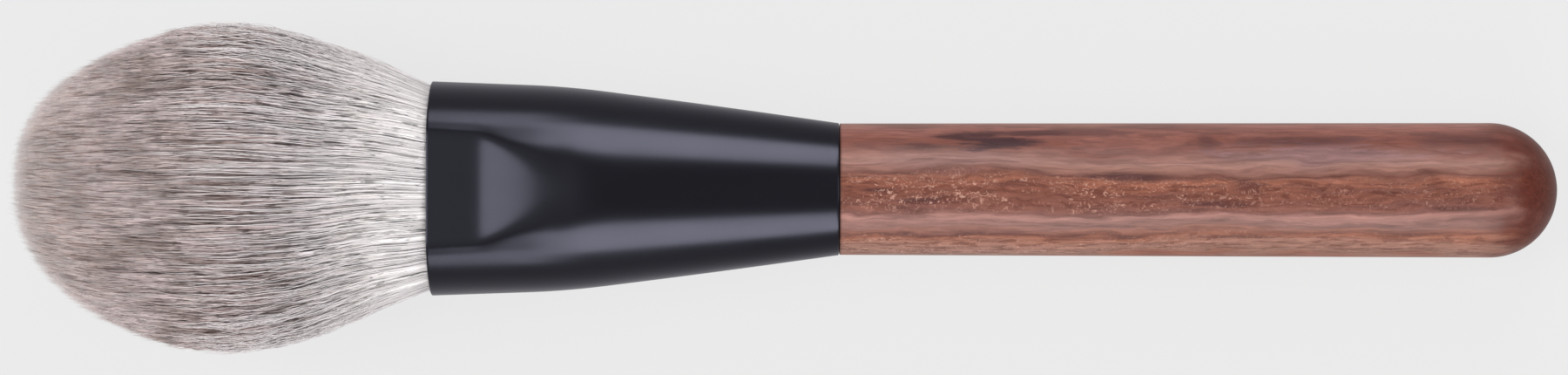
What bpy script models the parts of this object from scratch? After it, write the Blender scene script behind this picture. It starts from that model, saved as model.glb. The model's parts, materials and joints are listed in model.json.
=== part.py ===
"""Powder brush: a domed tuft of soft hair, a pressed metal ferrule and a turned hardwood handle.

The brush is modelled along its own axis. x = 0 is the ferrule's mouth, the hair runs towards -X and
the handle towards +X. Y is the brush's width, Z its thickness. Every piece hangs on one empty, which
lays the brush down as it rests on a table: on the belly of the hair and on the end of the handle.
Lengths are in metres.
"""

import math

import bmesh
import bpy
import numpy as np
from mathutils import Matrix

MM = 0.001

# Hair, measured outside the ferrule
HAIR_LENGTH = 48.2 * MM
HAIR_WIDTH = 38.0 * MM
HAIR_THICKNESS = 29.2 * MM
SETTLED_DEPTH = 0.25 * MM  # how far the underside of the belly lies flat where the table presses it
BELLY_DISTANCE = 24.0 * MM  # from the mouth to the widest section
FLARE_SLOPE = 0.43  # how fast the half width grows as the hair leaves the mouth
DOME_GATHER = 0.5  # share by which the hair beyond the belly leans in along the dome

# Strands that stand for the hair
CORE_STRANDS = 240
RIM_STRANDS = 60
STRAND_SIDES = 3
CORE_SHARE = 0.89  # how far out the core's strands reach, where 1 is the tuft's own skin
RIM_SHARE = 0.975  # where the even ring of rim strands lies
FINE_SHARE = 0.8  # strands further out than this get one more point, where the outline shows them
FLARE_POINT = 0.42  # where a strand bends between mouth and belly, as a share of that distance
FINE_POINT = 0.71  # where the one more point lies
FULL_POINT = 0.6  # where a strand has grown to its full thickness
STRAND_ROOT_RADIUS = 0.24 * MM
STRAND_BELLY_RADIUS = 0.54 * MM
STRAND_TIP_RADIUS = 0.08 * MM
ROOT_SET_BACK = 0.3 * MM  # from the mouth to the face that the strands grow from
ROOT_SLICE = 3.0 * MM
STRAND_ROOT_DEPTH = 0.8 * MM  # how deep a strand is set in that slice

# Ferrule, outside sizes
FERRULE_LENGTH = 46.9 * MM
MOUTH_DIAMETER = 24.6 * MM
BEND_DIAMETER = 23.5 * MM
SEAM_DIAMETER = 15.16 * MM
BEND_DISTANCE = 15.3 * MM  # from the mouth to where the slow taper meets the cone
BEND_SOFTNESS = 4.0 * MM  # half the length over which the two blend
FERRULE_WALL = 0.5 * MM
BEND_RINGS = 2  # rings on each side of the bend

# Pressed flats at the mouth
ACROSS_FLATS = 20.5 * MM
LAND_LENGTH = 5.4 * MM
RAMP_LENGTH = 8.8 * MM
RAMP_RINGS = 5

# Root of the hair bundle, its binding and its plug
KNOT_LENGTH = 14.0 * MM
KNOT_DIAMETER = 17.6 * MM
KNOT_HEAD_LENGTH = 3.0 * MM  # the part that fills the bore behind the hair
KNOT_HEAD_SLOPE = 1.2 * MM
KNOT_END_ROUND = 1.5 * MM
KNOT_END_RINGS = 3
THREAD_DIAMETER = 0.6 * MM
THREAD_TURNS = 3
THREAD_PITCH = 1.1 * MM
THREAD_POINTS = 24  # points on each turn
THREAD_DISTANCE = 4.6 * MM  # from the knot's front to the first turn
PLUG_FLOOR = 3.0 * MM

# Handle
HANDLE_LENGTH = 81.8 * MM  # the visible part, from its shoulder
NECK_DIAMETER = 15.06 * MM
END_DIAMETER = 15.42 * MM
DOME_RINGS = 9
SHOULDER_CHAMFER = 0.25 * MM
TENON_DIAMETER = 12.0 * MM
TENON_CHAMFER = 0.8 * MM
GROOVE_COUNT = 2
GROOVE_WIDTH = 2.0 * MM
GROOVE_DEPTH = 0.6 * MM
GROOVE_PITCH = 6.0 * MM
GROOVE_START = 5.0 * MM  # from the shoulder to the first groove

# Fits
CLEARANCE = 0.3 * MM  # between pieces that touch on the real brush

# Meshes
RING_STEPS = 44  # facets round the ferrule and the handle
INNER_STEPS = 28  # facets round the pieces that the ferrule hides
LEAST_RING_GAP = 0.6 * MM
WELD_DISTANCE = 0.001 * MM
SHARP_ANGLE = 35  # degrees between faces, from which an edge is shown sharp
SOFT_ANGLE = 180

# How far the brush may tilt as it is laid down, in degrees, and how often the tilt is halved
MOST_TILT = 15
TILT_HALVINGS = 40

# Finishes: colour, roughness and metallic
BLACK_SATIN = ((0.028, 0.027, 0.032), 0.32, 0.6)
ROSEWOOD = ((0.27, 0.10, 0.07), 0.35, 0.0)
GOAT_HAIR = ((0.33, 0.28, 0.26), 0.6, 0.0)
RESIN_SOAKED_HAIR = ((0.42, 0.33, 0.22), 0.5, 0.0)
COTTON_THREAD = ((0.72, 0.68, 0.60), 0.8, 0.0)
CLEAR_EPOXY = ((0.55, 0.45, 0.28), 0.2, 0.0)
FILLED_EPOXY = ((0.60, 0.55, 0.45), 0.4, 0.0)

KNOT_FRONT = ROOT_SET_BACK + ROOT_SLICE + CLEARANCE
KNOT_BACK = KNOT_FRONT + KNOT_LENGTH
PLUG_BACK = KNOT_BACK + CLEARANCE + PLUG_FLOOR
SHOULDER = FERRULE_LENGTH + CLEARANCE
TENON_LENGTH = SHOULDER - PLUG_BACK - CLEARANCE
PLUG_BORE_RADIUS = KNOT_DIAMETER / 2 + CLEARANCE


def clear_scene():
    for obj in list(bpy.data.objects):
        bpy.data.objects.remove(obj, do_unlink=True)


def new_collection(name):
    made = bpy.data.collections.new(name)
    bpy.context.scene.collection.children.link(made)
    return made


def principled(name, finish):
    colour, roughness, metallic = finish
    made = bpy.data.materials.new(name)
    made.use_nodes = True
    shader = made.node_tree.nodes["Principled BSDF"]
    shader.inputs["Base Color"].default_value = (*colour, 1.0)
    shader.inputs["Roughness"].default_value = roughness
    shader.inputs["Metallic"].default_value = metallic
    return made


def turned(name, profile, steps, collection):
    """A solid turned about X from (distance along the axis, radius) points.

    The points run down the outer side, from the far end of +X to the near one.
    """
    mesh = bpy.data.meshes.new(name)
    points = [(along, 0.0, radius) for along, radius in profile]
    on_axis = profile[0][1] == 0 and profile[-1][1] == 0
    edges = [(i, i + 1) for i in range(len(points) - 1)]
    if not on_axis and profile[0] == profile[-1]:
        points.pop()
        edges[-1] = (len(points) - 1, 0)
    mesh.from_pydata(points, edges, [])
    obj = bpy.data.objects.new(name, mesh)
    collection.objects.link(obj)
    screw = obj.modifiers.new("Turn", "SCREW")
    screw.axis = "X"
    screw.steps = steps
    screw.render_steps = steps
    screw.use_merge_vertices = True
    screw.merge_threshold = WELD_DISTANCE
    return obj


def baked(obj, collection):
    """The object's modifiers or curve made one plain mesh, in a new object of the same name."""
    bpy.context.view_layer.update()
    graph = bpy.context.evaluated_depsgraph_get()
    mesh = bpy.data.meshes.new_from_object(obj.evaluated_get(graph))
    name = obj.name
    place = obj.matrix_world.copy()
    bpy.data.objects.remove(obj, do_unlink=True)
    mesh.name = name
    welded = bmesh.new()
    welded.from_mesh(mesh)
    bmesh.ops.remove_doubles(welded, verts=welded.verts, dist=WELD_DISTANCE)
    bmesh.ops.recalc_face_normals(welded, faces=welded.faces)
    welded.to_mesh(mesh)
    welded.free()
    made = bpy.data.objects.new(name, mesh)
    made.matrix_world = place
    collection.objects.link(made)
    return made


def shade(obj, material, angle=SHARP_ANGLE):
    obj.data.materials.append(material)
    if obj.type == "MESH":
        obj.data.shade_smooth()
        obj.data.set_sharp_from_angle(angle=math.radians(angle))


def ferrule_radius(along):
    """Outer radius before pressing: a slow taper and a cone, blended by a parabola round the bend."""
    mouth, bend, seam = MOUTH_DIAMETER / 2, BEND_DIAMETER / 2, SEAM_DIAMETER / 2
    slow = (mouth - bend) / BEND_DISTANCE
    fast = (bend - seam) / (FERRULE_LENGTH - BEND_DISTANCE)
    past = along - BEND_DISTANCE
    radius = bend - (fast if past > 0 else slow) * past
    reach = max(BEND_SOFTNESS - abs(past), 0.0)
    return radius - (fast - slow) * reach**2 / (4 * BEND_SOFTNESS)


def bore_radius(along):
    """Radius of a piece that fills the ferrule's bore with its clearance."""
    return ferrule_radius(along) - FERRULE_WALL - CLEARANCE


def press_flats(obj, half_flats, steps):
    """Presses the top and bottom of a turned piece as two flat dies press the ferrule's mouth.

    Over the land a section is a circle cut by two flats. Over the ramp the flat narrows to nothing:
    a flat of width (1 - t) of the land's, then a corner arc of t times the full radius. That is the
    surface of straight lines from the land's edge and its corners back to the round body.
    """
    step = 2 * math.pi / steps
    for vertex in obj.data.vertices:
        along, across, up = vertex.co
        radius = math.hypot(across, up)
        t = max(along - LAND_LENGTH, 0.0) / RAMP_LENGTH
        if t >= 1 or radius <= half_flats:
            continue
        corner = math.acos(half_flats / radius)
        corner_facet = max(round(corner / step), 1) * step
        angle = math.atan2(abs(across), abs(up))
        if angle > corner_facet + 1e-4:
            share = (angle - corner_facet) / (math.pi / 2 - corner_facet)
            angle = corner + share * (math.pi / 2 - corner)
            y, z = radius * math.sin(angle), radius * math.cos(angle)
        else:
            flat = (1 - t) * radius * math.sin(corner)
            rise = (1 - t) * half_flats
            reach = angle / corner_facet * (flat + t * radius * corner)
            turn = max(reach - flat, 0.0) / (t * radius) if t > 0 else 0.0
            y = min(reach, flat) + t * radius * math.sin(turn)
            z = rise + t * radius * math.cos(turn)
        vertex.co = (along, math.copysign(y, across), math.copysign(z, up))


def pressed_half_flats():
    """Half the distance across the flats for a piece inside the ferrule."""
    return ACROSS_FLATS / 2 - FERRULE_WALL - CLEARANCE


def stations(first, last):
    """Distances at which a piece along the mouth, the ramp and the bend needs a ring, in order."""
    wanted = [LAND_LENGTH + RAMP_LENGTH * i / RAMP_RINGS for i in range(RAMP_RINGS + 1)]
    for i in range(-BEND_RINGS, BEND_RINGS + 1):
        wanted.append(BEND_DISTANCE + BEND_SOFTNESS * i / BEND_RINGS)
    kept = [first]
    for along in sorted(wanted):
        if along - kept[-1] > LEAST_RING_GAP and last - along > LEAST_RING_GAP:
            kept.append(along)
    return kept + [last]


def make_ferrule(collection):
    """A thin tube turned from an open profile, pressed, then thickened inwards."""
    profile = [(along, ferrule_radius(along)) for along in stations(0.0, FERRULE_LENGTH)]
    tube = baked(turned("ferrule", profile[::-1], RING_STEPS, collection), collection)
    press_flats(tube, ACROSS_FLATS / 2, RING_STEPS)
    outward = sum(face.normal.dot((0, face.center.y, face.center.z)) for face in tube.data.polygons)
    if outward < 0:
        tube.data.flip_normals()
    wall = tube.modifiers.new("Wall", "SOLIDIFY")
    wall.thickness = FERRULE_WALL
    wall.offset = -1
    wall.use_even_offset = True
    return tube


def knot_profile():
    """Outer side of the root, front to back: a head that fills the bore, a thread groove, a round end."""
    head_end = KNOT_FRONT + KNOT_HEAD_LENGTH
    body = KNOT_DIAMETER / 2
    waist = body - THREAD_DIAMETER - CLEARANCE
    groove_front = KNOT_FRONT + THREAD_DISTANCE - THREAD_DIAMETER / 2 - CLEARANCE
    groove_back = groove_front + THREAD_TURNS * THREAD_PITCH + THREAD_DIAMETER + 2 * CLEARANCE
    points = [(KNOT_FRONT, 0.0), (KNOT_FRONT, bore_radius(KNOT_FRONT))]
    points += [(head_end, bore_radius(head_end)), (head_end + KNOT_HEAD_SLOPE, body)]
    points += [(groove_front, body), (groove_front, waist), (groove_back, waist), (groove_back, body)]
    for i in range(KNOT_END_RINGS + 1):
        turn = math.pi / 2 * i / KNOT_END_RINGS
        along = KNOT_BACK - KNOT_END_ROUND * (1 - math.sin(turn))
        points.append((along, body - KNOT_END_ROUND * (1 - math.cos(turn))))
    return points + [(KNOT_BACK, 0.0)]


def make_root_knot(collection):
    turned_knot = turned("root_knot", knot_profile()[::-1], INNER_STEPS, collection)
    knot = baked(turned_knot, collection)
    press_flats(knot, pressed_half_flats(), INNER_STEPS)
    return knot


def make_binding_thread(collection):
    """One thread wound round the knot's groove, flush with the knot."""
    radius = KNOT_DIAMETER / 2 - THREAD_DIAMETER / 2
    count = THREAD_POINTS * THREAD_TURNS + 1
    turn = np.linspace(0, 2 * math.pi * THREAD_TURNS, count)
    along = THREAD_PITCH * turn / (2 * math.pi)
    path = np.stack([along, radius * np.cos(turn), radius * np.sin(turn)], axis=1)
    gaps = np.linalg.norm(path[:, None] - path[None], axis=2)
    apart = np.abs(np.arange(count)[:, None] - np.arange(count)[None]) > THREAD_POINTS / 2
    least = (gaps[apart].min() - THREAD_DIAMETER) / MM
    print(f"binding_thread: {THREAD_TURNS} turns, least gap to itself {least:.2f} mm")
    curve = bpy.data.curves.new("binding_thread", "CURVE")
    curve.dimensions = "3D"
    spline = curve.splines.new("POLY")
    spline.points.add(count - 1)
    for point, place in zip(spline.points, path):
        point.co = (*place, 1.0)
    curve.bevel_depth = THREAD_DIAMETER / 2
    curve.bevel_resolution = 1
    curve.use_fill_caps = True
    thread = bpy.data.objects.new("binding_thread", curve)
    thread.location.x = KNOT_FRONT + THREAD_DISTANCE
    collection.objects.link(thread)
    return thread


def make_epoxy_plug(collection):
    """A cup that fills the bore behind the knot's head and closes it towards the handle."""
    front = KNOT_FRONT + KNOT_HEAD_LENGTH + KNOT_HEAD_SLOPE + CLEARANCE
    floor = KNOT_BACK + CLEARANCE
    outer = [(along, bore_radius(along)) for along in stations(front, PLUG_BACK)]
    profile = [(PLUG_BACK, 0.0)] + outer[::-1]
    profile += [(front, PLUG_BORE_RADIUS), (floor, PLUG_BORE_RADIUS), (floor, 0.0)]
    plug = baked(turned("epoxy_plug", profile, INNER_STEPS, collection), collection)
    press_flats(plug, pressed_half_flats(), INNER_STEPS)
    return plug


def groove_places():
    """Front and back of each glue groove, from the shoulder towards the tenon's tip."""
    for i in range(GROOVE_COUNT):
        middle = GROOVE_START + i * GROOVE_PITCH
        yield middle - GROOVE_WIDTH / 2, middle + GROOVE_WIDTH / 2


def make_handle_bond(collection):
    """The glue between the tenon and the ferrule: a collar with a rib in each of the tenon's grooves."""
    front = PLUG_BACK + CLEARANCE
    back = FERRULE_LENGTH - CLEARANCE
    inner = TENON_DIAMETER / 2 + CLEARANCE
    profile = [(back, inner), (back, bore_radius(back)), (front, bore_radius(front)), (front, inner)]
    ribs = []
    for near, far in groove_places():
        rib_back = SHOULDER - near - CLEARANCE
        rib_front = SHOULDER - far + CLEARANCE
        ribs.append(
            [
                (rib_front, inner),
                (rib_front, inner - GROOVE_DEPTH),
                (rib_back, inner - GROOVE_DEPTH),
                (rib_back, inner),
            ]
        )
    for rib in reversed(ribs):
        profile += rib
    profile.append((back, inner))
    return turned("handle_bond", profile, INNER_STEPS, collection)


def make_handle(collection):
    """Turned in one: domed end, slowly tapered grip, shoulder and a tenon with glue grooves.

    It is turned half a facet about its axis, so that it lies on a face and not on an edge.
    """
    neck, end = NECK_DIAMETER / 2, END_DIAMETER / 2
    tenon = TENON_DIAMETER / 2
    dome_start = HANDLE_LENGTH - end
    profile = [(HANDLE_LENGTH, 0.0)]
    for i in range(1, DOME_RINGS + 1):
        turn = math.pi / 2 * i / DOME_RINGS
        profile.append((dome_start + end * math.cos(turn), end * math.sin(turn)))
    profile += [(dome_start / 2, (neck + end) / 2), (SHOULDER_CHAMFER, neck)]
    profile += [(0.0, neck - SHOULDER_CHAMFER), (0.0, tenon)]
    for near, far in groove_places():
        profile += [(-near, tenon), (-near, tenon - GROOVE_DEPTH)]
        profile += [(-far, tenon - GROOVE_DEPTH), (-far, tenon)]
    profile += [(TENON_CHAMFER - TENON_LENGTH, tenon), (-TENON_LENGTH, tenon - TENON_CHAMFER)]
    profile.append((-TENON_LENGTH, 0.0))
    handle = turned("handle", profile, RING_STEPS, collection)
    handle.location.x = SHOULDER
    handle.rotation_euler.x = math.pi / RING_STEPS
    return handle


def flare(root, belly, out):
    """Half size of the tuft between mouth and belly: a cubic with the flare's slope, then level."""
    t = min(max(out / BELLY_DISTANCE, 0.0), 1.0)
    rise = FLARE_SLOPE * BELLY_DISTANCE * (t**3 - 2 * t**2 + t)
    return root * (2 * t**3 - 3 * t**2 + 1) + rise + belly * (3 * t**2 - 2 * t**3)


def strand_path(share, angle):
    """Points and radii of one strand, which starts at a share of the root's radius, at an angle.

    All strands follow one flow, so none crosses another: the bundle flares to the belly and then
    leans in, and a strand ends where it meets the elliptical dome.
    """
    root_y = (bore_radius(ROOT_SET_BACK) - STRAND_ROOT_RADIUS) / RIM_SHARE
    root_z = (pressed_half_flats() - STRAND_ROOT_RADIUS) / RIM_SHARE
    belly_y = (HAIR_WIDTH / 2 - STRAND_BELLY_RADIUS / 2) / RIM_SHARE
    belly_z = (HAIR_THICKNESS / 2 - STRAND_BELLY_RADIUS / 2) / RIM_SHARE
    dome = HAIR_LENGTH - BELLY_DISTANCE
    tip_depth = share * (1 - DOME_GATHER) / (1 - share * DOME_GATHER)
    tip_out = BELLY_DISTANCE + dome * math.sqrt(1 - tip_depth**2)
    root_out = -ROOT_SET_BACK - STRAND_ROOT_DEPTH
    outs = [root_out, FLARE_POINT * BELLY_DISTANCE, BELLY_DISTANCE, tip_out]
    if share > FINE_SHARE:
        outs.insert(2, FINE_POINT * BELLY_DISTANCE)
    points, radii = [], []
    for out in outs:
        lean = 1.0
        if out > BELLY_DISTANCE:
            lean = 1 - DOME_GATHER * (1 - math.sqrt(1 - ((out - BELLY_DISTANCE) / dome) ** 2))
        y = share * math.cos(angle) * flare(root_y, belly_y, out) * lean
        z = share * math.sin(angle) * flare(root_z, belly_z, out) * lean
        points.append((-out, y, z))
        grown = min(max(out / (FULL_POINT * BELLY_DISTANCE), 0.0), 1.0)
        radii.append(STRAND_ROOT_RADIUS + grown * (STRAND_BELLY_RADIUS - STRAND_ROOT_RADIUS))
    radii[-1] = STRAND_TIP_RADIUS
    return points, radii


def strand_layout():
    """Share of the tuft's radius and angle of each strand: a sunflower's spiral inside an even ring.

    Two strands of the ring lie side by side at the bottom, so that the tuft rests on both.
    """
    golden = math.pi * (3 - math.sqrt(5))
    core = [(CORE_SHARE * math.sqrt((i + 0.5) / CORE_STRANDS), i * golden) for i in range(CORE_STRANDS)]
    return core + [(RIM_SHARE, 2 * math.pi * (i + 0.5) / RIM_STRANDS) for i in range(RIM_STRANDS)]


def make_strands(guides):
    """All the strands as one curve, with a small polygon carried along each, made a mesh.

    The lowest ones are pressed flat, as the weight of the brush settles its hair on a table.
    """
    section = bpy.data.curves.new("strand_section", "CURVE")
    section.dimensions = "2D"
    ring = section.splines.new("POLY")
    ring.points.add(STRAND_SIDES - 1)
    for i, point in enumerate(ring.points):
        turn = 2 * math.pi * i / STRAND_SIDES
        point.co = (MM * math.cos(turn), MM * math.sin(turn), 0.0, 1.0)
    ring.use_cyclic_u = True
    section_object = bpy.data.objects.new("strand_section", section)
    guides.objects.link(section_object)
    section_object.hide_render = True
    section_object.display_type = "WIRE"
    curve = bpy.data.curves.new("strands", "CURVE")
    curve.dimensions = "3D"
    curve.bevel_mode = "OBJECT"
    curve.bevel_object = section_object
    curve.use_fill_caps = True
    for share, angle in strand_layout():
        points, radii = strand_path(share, angle)
        spline = curve.splines.new("POLY")
        spline.points.add(len(points) - 1)
        for point, place, radius in zip(spline.points, points, radii):
            point.co = (*place, 1.0)
            point.radius = radius / MM
    strands = bpy.data.objects.new("strands", curve)
    guides.objects.link(strands)
    strands = baked(strands, guides)
    settled = SETTLED_DEPTH - HAIR_THICKNESS / 2
    for vertex in strands.data.vertices:
        vertex.co.z = max(vertex.co.z, settled)
    strands.hide_render = True
    strands.display_type = "WIRE"
    return strands


def make_hair_tuft(collection, guides):
    """The strands fused to a slice of their root, which has the shape of the ferrule's mouth.

    Returns the tuft and the strands that it is joined with, which have to be laid down with it.
    """
    mesh = bpy.data.meshes.new("hair_tuft")
    slice_form = bmesh.new()
    radius = bore_radius(ROOT_SET_BACK)
    middle = ROOT_SET_BACK + ROOT_SLICE / 2
    place = Matrix.Translation((middle, 0, 0)) @ Matrix.Rotation(math.pi / 2, 4, "Y")
    bmesh.ops.create_cone(
        slice_form,
        cap_ends=True,
        segments=RING_STEPS,
        radius1=radius,
        radius2=radius,
        depth=ROOT_SLICE,
        matrix=place,
    )
    slice_form.to_mesh(mesh)
    slice_form.free()
    tuft = bpy.data.objects.new("hair_tuft", mesh)
    collection.objects.link(tuft)
    press_flats(tuft, pressed_half_flats(), RING_STEPS)
    join = tuft.modifiers.new("Strands", "BOOLEAN")
    join.operation = "UNION"
    join.solver = "EXACT"
    strands = make_strands(guides)
    join.object = strands
    return tuft, strands


def outline_points(obj):
    """The evaluated piece's points along the brush's own axes, as an array."""
    graph = bpy.context.evaluated_depsgraph_get()
    mesh = obj.evaluated_get(graph).to_mesh()
    flat = np.empty(len(mesh.vertices) * 3, np.float32)
    mesh.vertices.foreach_get("co", flat)
    obj.evaluated_get(graph).to_mesh_clear()
    place = np.array(obj.matrix_world)
    return flat.reshape(-1, 3) @ place[:3, :3].T + place[:3, 3]


def lay_down(axis_empty, hair, wood):
    """Tilts the brush until its hair and its handle's end touch the table, and centres it above x = 0."""
    low, high = 0.0, math.radians(MOST_TILT)
    for _ in range(TILT_HALVINGS):
        tilt = (low + high) / 2
        hair_low = (hair[:, 2] * math.cos(tilt) - hair[:, 0] * math.sin(tilt)).min()
        wood_low = (wood[:, 2] * math.cos(tilt) - wood[:, 0] * math.sin(tilt)).min()
        if wood_low > hair_low:
            low = tilt
        else:
            high = tilt
    both = np.concatenate([hair, wood])
    along = both[:, 0] * math.cos(tilt) + both[:, 2] * math.sin(tilt)
    axis_empty.rotation_euler = (0.0, tilt, 0.0)
    axis_empty.location = (-(along.min() + along.max()) / 2, 0.0, -min(hair_low, wood_low))
    print(f"the brush rests at {math.degrees(tilt):.2f} degrees")


def main():
    clear_scene()
    parts = new_collection("powder_brush")
    guides = new_collection("guides")
    ferrule = make_ferrule(parts)
    handle = make_handle(parts)
    tuft, strands = make_hair_tuft(parts, guides)
    knot = make_root_knot(parts)
    thread = make_binding_thread(parts)
    plug = make_epoxy_plug(parts)
    bond = make_handle_bond(parts)
    shade(ferrule, principled("black satin ferrule", BLACK_SATIN))
    shade(handle, principled("rosewood", ROSEWOOD))
    shade(tuft, principled("goat hair", GOAT_HAIR), SOFT_ANGLE)
    shade(knot, principled("resin soaked hair", RESIN_SOAKED_HAIR))
    shade(thread, principled("cotton thread", COTTON_THREAD))
    shade(plug, principled("clear epoxy", CLEAR_EPOXY))
    shade(bond, principled("filled epoxy", FILLED_EPOXY))
    axis_empty = bpy.data.objects.new("brush_axis", None)
    parts.objects.link(axis_empty)
    bpy.context.view_layer.update()
    lay_down(axis_empty, outline_points(tuft), outline_points(handle))
    for piece in (ferrule, handle, tuft, strands, knot, thread, plug, bond):
        piece.parent = axis_empty


main()
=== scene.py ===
"""Powder brush on a pale table: goat hair, a pressed black ferrule and a rosewood handle.

Shapes are worked out in millimetres along the brush's own axis: x = 0 is the ferrule's mouth, the
hair runs towards -x and the handle towards +x, y is the width and z the thickness. The two mounts
on the ferrule's flats say where that axis lies in the CAD frame.
"""
import json
import math

import bpy
import numpy as np
from mathutils import Matrix, Vector


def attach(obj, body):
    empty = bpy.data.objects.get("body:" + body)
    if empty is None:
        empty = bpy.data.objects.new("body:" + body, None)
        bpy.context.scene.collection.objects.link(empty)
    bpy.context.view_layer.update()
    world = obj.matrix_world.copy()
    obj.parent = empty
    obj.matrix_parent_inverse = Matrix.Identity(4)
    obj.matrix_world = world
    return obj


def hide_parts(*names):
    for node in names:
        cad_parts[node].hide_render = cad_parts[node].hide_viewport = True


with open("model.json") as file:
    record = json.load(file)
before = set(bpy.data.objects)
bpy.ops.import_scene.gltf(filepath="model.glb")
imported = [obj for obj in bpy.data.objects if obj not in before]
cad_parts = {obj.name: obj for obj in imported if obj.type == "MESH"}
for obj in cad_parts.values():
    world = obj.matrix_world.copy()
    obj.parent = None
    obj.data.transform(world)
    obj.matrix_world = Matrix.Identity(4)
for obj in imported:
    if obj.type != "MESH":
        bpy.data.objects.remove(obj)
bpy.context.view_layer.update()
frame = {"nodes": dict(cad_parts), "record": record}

MM = 0.001
SEED = 7

# Camera, fitted to the photograph
IMAGE_WIDTH, IMAGE_HEIGHT = 1800, 430
PIXEL = 0.1  # mm on the brush's axis
MOUTH_PIXEL = 496.5  # column of the ferrule's mouth
AXIS_PIXEL = 216.8  # row of the axis at the image's centre
CAMERA_DISTANCE = 548.0
SENSOR_WIDTH = 36.0
CAMERA_ROLL = 0.1  # degrees by which the handle's end hangs lower

# Hair
HAIR_LENGTH = 48.2
BELLY = 24.0  # distance of the widest section from the mouth
BELLY_Y, BELLY_Z = 19.0, 14.6  # half sizes there
DOME_ALONG, DOME_ACROSS = 1.5, 2.5  # powers of the dome's outline, along and across
ROOT_Y, ROOT_Z = 11.7, 9.7  # half sizes at the mouth
FLARE_SLOPE = 0.43
GATHER = 0.27  # share by which hairs past the belly lean in along the dome
ROOT_SWAY, TIP_SWAY = 0.3, 0.45  # how far the tuft leans to +y behind the mouth and at its tip
ROOT_DEPTH = 1.2  # how far the hairs reach into the ferrule
ROOT_CORNER = 11.6  # size at the corners of the mouth's flats, which the roots fill
CORNER_REACH = 6.0  # distance over which these corners fade into the oval
CORE_SHARE = 0.86  # size of the inner body that closes the tuft
CORE_ROWS, CORE_COLUMNS = 60, 96
CORE_STRAND = (0.3, 0.5, 0.3, 0.0)  # it has the tone of a darker hair
CLUMPS = 1100
CLUMP_JITTER = 0.008  # of a clump's middle, as a share of the section
CLUMP_SPREAD = 0.558 / math.sqrt(CLUMPS)  # of its hairs round it
PINCH = 0.3  # share by which a hair's tip comes closer to its clump's middle
HAIRS, FINE_HAIRS = 19000, 1300
HAIRS_TO = 0.975  # share of the section that the hairs fill
FINE_FROM, FINE_TO = 0.6, 0.966  # shares between which half of the fine ones lie
FINE_BAND = 0.032  # width of the band beyond, where the others lie
OUTER_FROM = 0.8  # hairs from this share on show their whole length
INNER_LENGTH = 14.0  # of the others, whose roots are hidden
INNER_RINGS, OUTER_RINGS = 10, 17
INNER_HAIRS, OUTER_HAIRS = 2900, 1850  # to a piece, which keeps it under 200,000 triangles
CLUMP_WAVE, OWN_WAVE = 0.07, 0.13  # how far a hair sways with its clump and by itself
DIVE = 0.010  # share of its place by which it dives
WAVES_GROWN = 8.0  # distance from the mouth at which they have their full size
HAIR_RADIUS, HAIR_RADIUS_SPREAD = 0.052, 0.024
SIDES = 3
TAPER = 0.12  # share of its length over which a hair thins, and its radius there as a share

# Ferrule
FERRULE_LENGTH = 46.65
MOUTH_RADIUS, BEND_RADIUS, SEAM_RADIUS = 12.3, 11.75, 7.58
BEND, BEND_SOFTNESS = 15.3, 4.0
WALL, EDGE = 0.5, 0.12  # the sheet's thickness, and the rounding of its cut edges
HALF_FLATS = 10.25
MOUNT_DISTANCE = 2.7  # from the mouth to the mounts at the middle of the flats
LAND_LENGTH, RAMP_LENGTH, EASE_LENGTH = 6.2, 9.0, 15.5
BULGE = 0.08  # by which the cone stands proud of a straight one
FERRULE_COLUMNS = 288
PRESSED_STEP, CONE_STEP = 0.25, 0.6  # between sections where it is pressed, and on the cone
PRESSED_TO = 17.0
FOLD_AROUND, FOLD_ALONG = 2.6, 3.0  # softness of the folds, in columns and in pressed steps

# Handle
HANDLE_FRONT = 46.7  # its shoulder bears on the ferrule's lip
HANDLE_BACK = 129.0
NECK_RADIUS, END_RADIUS = 7.53, 7.71
SHOULDER_ROUND = 0.15
TENON_RADIUS, TENON_LENGTH, TENON_CHAMFER = 6.0, 26.0, 0.8
GLUE_GROOVES, GROOVE_DEPTH = (5.0, 11.0), 0.6  # round the tenon, behind the shoulder
HANDLE_COLUMNS = 160

# Depths of the fine relief that the materials only shade
PIT_DEPTH, FIBRE_DEPTH, GRAIN_DEPTH = 0.01, 0.03, 0.05

# Rosewood's growth layers from one side to the other: their tones, which are figured and how
# strongly, and where a dark edge lies
WOOD_FROM, WOOD_TO = -5.1, 11.9
WOOD_TONES = (
    (0.04, "#874e3b"), (0.11, "#896558"), (0.16, "#936b5e"), (0.21, "#915b47"),
    (0.27, "#7a564f"), (0.33, "#986d64"), (0.37, "#7a4f45"), (0.48, "#724539"),
    (0.58, "#885544"), (0.64, "#7c564c"), (0.71, "#90695f"), (0.80, "#6d3f35"),
    (0.90, "#87584f"), (0.97, "#8b6255"))
WOOD_FIGURED = (
    (0.07, 0.0), (0.11, 0.8), (0.19, 0.8), (0.24, 0.0), (0.34, 0.0), (0.41, 1.0), (0.56, 1.0),
    (0.64, 0.0))
WOOD_EDGES = (
    (0.20, 0.0), (0.222, 0.9), (0.245, 0.0), (0.33, 0.0), (0.352, 0.7), (0.375, 0.0),
    (0.60, 0.0), (0.62, 0.8), (0.645, 0.0))

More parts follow.
